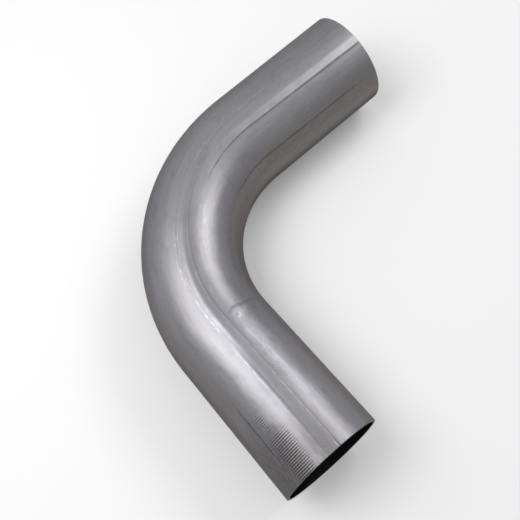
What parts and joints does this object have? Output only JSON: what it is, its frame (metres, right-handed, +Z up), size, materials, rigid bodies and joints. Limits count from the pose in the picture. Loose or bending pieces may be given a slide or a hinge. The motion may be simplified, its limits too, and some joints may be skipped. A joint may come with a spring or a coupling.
{
  "type": "mandrel bend tube",
  "caption": "Round steel exhaust tube bent once through a right angle on a mandrel, with two straight legs, full bore, die marks and plain sawn ends.",
  "frame": {"origin": "bottom centre of the tube's box as it lies flat, on the surface that it lies on", "axes": "+X along leg A away from the bend, +Y along leg B away from the bend, +Z up, square to the plane of the bend"},
  "size_m": [0.219, 0.216, 0.0635],
  "materials": {
    "steel": "satin mill finish, drawn along the tube, with die marks"
  },
  "bodies": {
    "root": {"bent_tube": "steel"}
  },
  "joints": []
}
